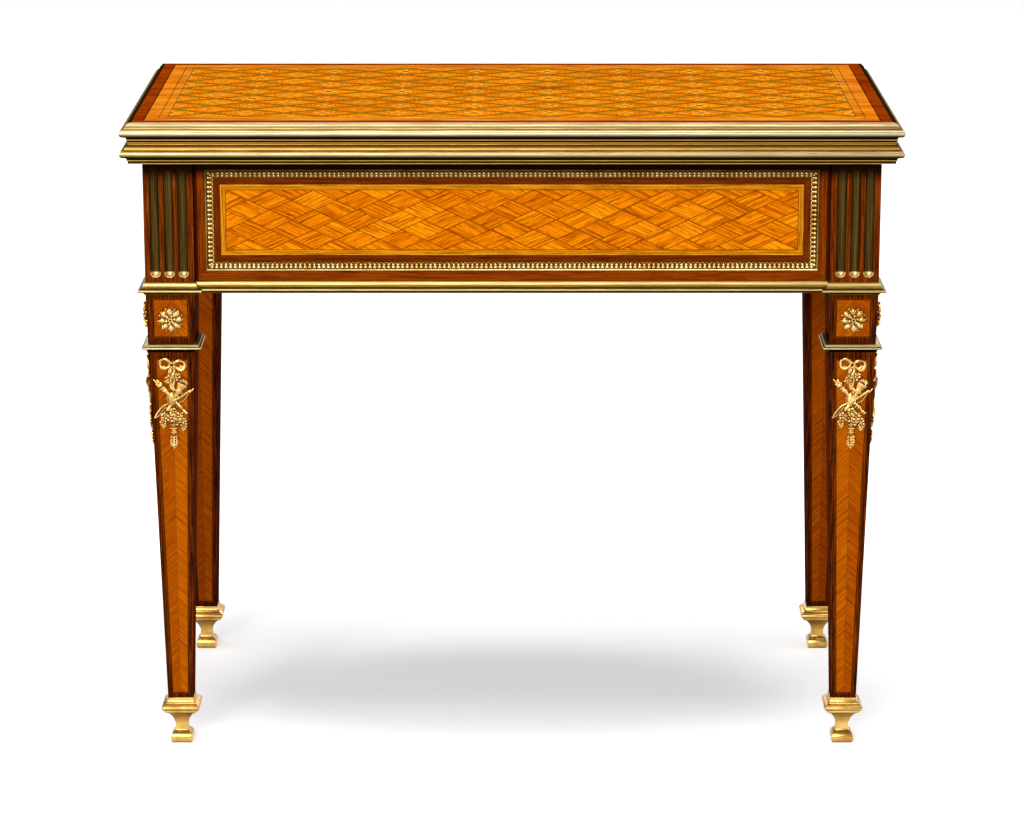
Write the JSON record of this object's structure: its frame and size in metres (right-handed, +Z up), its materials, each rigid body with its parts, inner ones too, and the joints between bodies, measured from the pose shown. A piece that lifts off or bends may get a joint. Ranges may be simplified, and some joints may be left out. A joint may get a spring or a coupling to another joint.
{
  "type": "games table",
  "caption": "Rectangular card and games table on square tapered legs, with a double top that turns a quarter and folds open to a square.",
  "frame": {"origin": "on the floor, under the middle of the closed table's overall plan", "axes": "+X to the right along the width, +Y to the back, +Z up; the front looks along -Y"},
  "size_m": [0.9, 0.4564, 0.76],
  "materials": {
    "top_veneer": "french polished parquetry",
    "frieze_veneer": "french polished parquetry",
    "leg_veneer": "french polished veneer",
    "carcase_wood": "planed oak",
    "edge_brass": "polished, lightly aged",
    "gilt_bronze": "chased and gilt",
    "baize": "felted wool",
    "pivot_iron": "wrought, oiled"
  },
  "bodies": {
    "frame": {"beaded_frame_front": "gilt_bronze", "beaded_frame_left": "gilt_bronze", "beaded_frame_right": "gilt_bronze", "block_moulding_back_left": "edge_brass", "block_moulding_back_right": "edge_brass", "block_moulding_front_left": "edge_brass", "block_moulding_front_right": "edge_brass", "collar_back_left": "edge_brass", "collar_back_right": "edge_brass", "collar_front_left": "edge_brass", "collar_front_right": "edge_brass", "frame_moulding_back": "edge_brass", "frame_moulding_front": "edge_brass", "frame_moulding_left": "edge_brass", "frame_moulding_right": "edge_brass", "leg_back_left": "leg_veneer", "leg_back_right": "leg_veneer", "leg_front_left": "leg_veneer", "leg_front_right": "leg_veneer", "middle_rail": "carcase_wood", "pivot_board": "carcase_wood", "rail_back": "frieze_veneer", "rail_front": "frieze_veneer", "rail_left": "frieze_veneer", "rail_right": "frieze_veneer", "rosette_back_left_side": "gilt_bronze", "rosette_back_right_side": "gilt_bronze", "rosette_front_left_front": "gilt_bronze", "rosette_front_left_side": "gilt_bronze", "rosette_front_right_front": "gilt_bronze", "rosette_front_right_side": "gilt_bronze", "sabot_back_left": "gilt_bronze", "sabot_back_right": "gilt_bronze", "sabot_front_left": "gilt_bronze", "sabot_front_right": "gilt_bronze", "trophy_back_left_side": "gilt_bronze", "trophy_back_right_side": "gilt_bronze", "trophy_front_left_front": "gilt_bronze", "trophy_front_left_side": "gilt_bronze", "trophy_front_right_front": "gilt_bronze", "trophy_front_right_side": "gilt_bronze", "well_floor": "carcase_wood"},
    "lower_top": {"hinge_pin_left": "pivot_iron", "hinge_pin_right": "pivot_iron", "hinge_plate_lower_left": "edge_brass", "hinge_plate_lower_right": "edge_brass", "lower_baize": "baize", "lower_edge_front": "edge_brass", "lower_edge_left": "edge_brass", "lower_edge_right": "edge_brass", "lower_leaf": "top_veneer", "swivel_nut": "pivot_iron", "swivel_plate": "pivot_iron"},
    "upper_top": {"hinge_plate_upper_left": "edge_brass", "hinge_plate_upper_right": "edge_brass", "upper_baize": "baize", "upper_edge_front": "edge_brass", "upper_edge_left": "edge_brass", "upper_edge_right": "edge_brass", "upper_leaf": "top_veneer"}
  },
  "joints": [
    {"name": "top_swivel", "type": "hinge", "parent": "frame", "child": "lower_top", "pos_m": [0.107, 0.11475, 0.712], "axis": [0, 0, 1], "range_deg": [0, 90]},
    {"name": "leaf_fold", "type": "hinge", "parent": "lower_top", "child": "upper_top", "pos_m": [0, 0.2219, 0.73615], "axis": [-1, 0, 0], "range_deg": [0, 180]}
  ]
}
